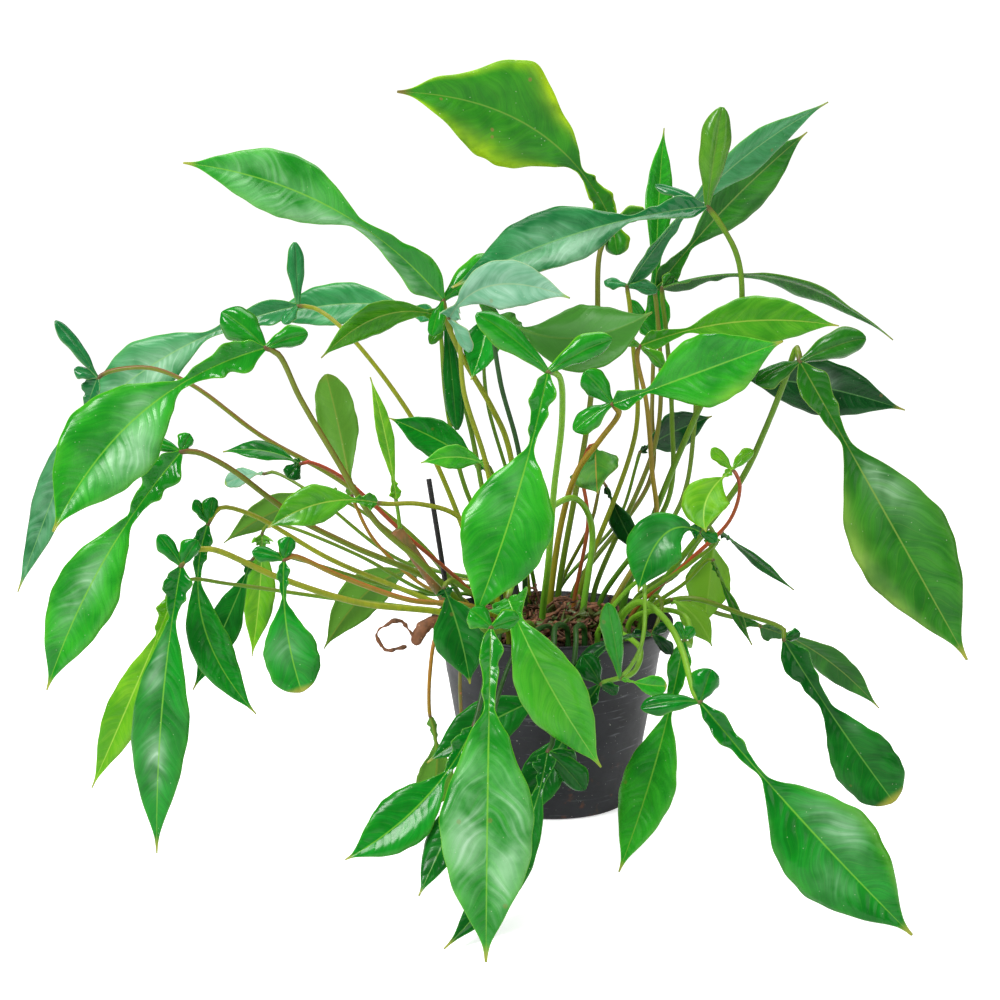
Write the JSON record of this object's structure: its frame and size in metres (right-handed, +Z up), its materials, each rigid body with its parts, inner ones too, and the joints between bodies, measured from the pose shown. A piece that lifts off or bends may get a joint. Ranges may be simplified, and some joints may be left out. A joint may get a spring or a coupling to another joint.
{
  "type": "potted philodendron joepii",
  "caption": "House plant in a dark nursery pot: long stalks with three-lobed leaves, each a ruffled neck and a long lobe with two rounded ears.",
  "frame": {"origin": "middle of the pot's underside", "axes": "+Z up along the pot's axis, +X to the right and +Y away from the viewer as pictured"},
  "size_m": [0.9022, 0.6, 0.7137],
  "materials": {
    "pot": "satin, with fine rings",
    "soil": "rough, with bark and dry scales",
    "stem": "rough",
    "stake": "matte",
    "leaf_deep": "glossy",
    "leaf_fresh": "glossy",
    "leaf_lime": "satin",
    "leaf_pale": "satin with a pale sheen",
    "leaf_dull": "matte"
  },
  "bodies": {
    "root": {"pot": "pot", "soil": "soil", "crown": "stem", "stem_left": "stem", "rhizome": "stem", "stem_hanging": "stem", "stake_tall": "stake", "stake_short": "stake", "leaf_top_crown": "leaf_fresh", "leaf_top_long": "leaf_pale", "leaf_top_left": "leaf_fresh", "leaf_top_pale": "leaf_pale", "leaf_top_narrow": "leaf_fresh", "leaf_top_dark": "leaf_deep", "leaf_top_upright": "leaf_deep", "leaf_top_arching": "leaf_fresh", "leaf_right_bright": "leaf_fresh", "leaf_right_oval": "leaf_fresh", "leaf_right_dark": "leaf_deep", "leaf_right_hanging": "leaf_fresh", "leaf_right_small": "leaf_lime", "leaf_right_shade": "leaf_deep", "leaves_right_back": "leaf_lime", "leaves_right_low": "leaf_dull", "leaves_inner_back": "leaf_deep", "leaf_inner_lime": "leaf_lime", "leaf_front_middle": "leaf_fresh", "leaf_front_behind": "leaf_dull", "leaf_middle_pointed": "leaf_fresh", "leaf_left_pointed": "leaf_lime", "leaf_left_back": "leaf_deep", "leaf_left_arching": "leaf_pale", "leaf_left_large": "leaf_fresh", "leaf_left_far": "leaf_pale", "leaf_left_wavy": "leaf_fresh", "leaf_left_glossy": "leaf_deep", "leaves_left_slim": "leaf_deep", "leaves_left_low": "leaf_lime", "leaf_left_blunt": "leaf_deep", "leaf_left_pale_back": "leaf_pale", "leaf_left_level": "leaf_fresh", "leaves_left_back": "leaf_pale", "leaf_left_hooked": "leaf_deep", "leaf_left_erect": "leaf_dull", "leaf_left_spear": "leaf_lime", "leaves_left_inner": "leaf_deep", "leaf_front_short": "leaf_deep", "leaf_front_long": "leaf_deep", "leaf_front_bright": "leaf_fresh", "leaf_front_low_dark": "leaf_deep", "leaf_front_dull": "leaf_dull", "leaf_front_floor_left": "leaf_deep", "leaf_front_floor_mid": "leaf_deep", "leaf_front_floor_back": "leaf_deep", "leaves_front_right": "leaf_dull", "leaf_front_arched": "leaf_deep", "leaf_right_low": "leaf_fresh", "leaf_right_front": "leaf_fresh", "leaf_right_blunt": "leaf_deep", "leaf_right_low_back": "leaf_dull"}
  },
  "joints": []
}
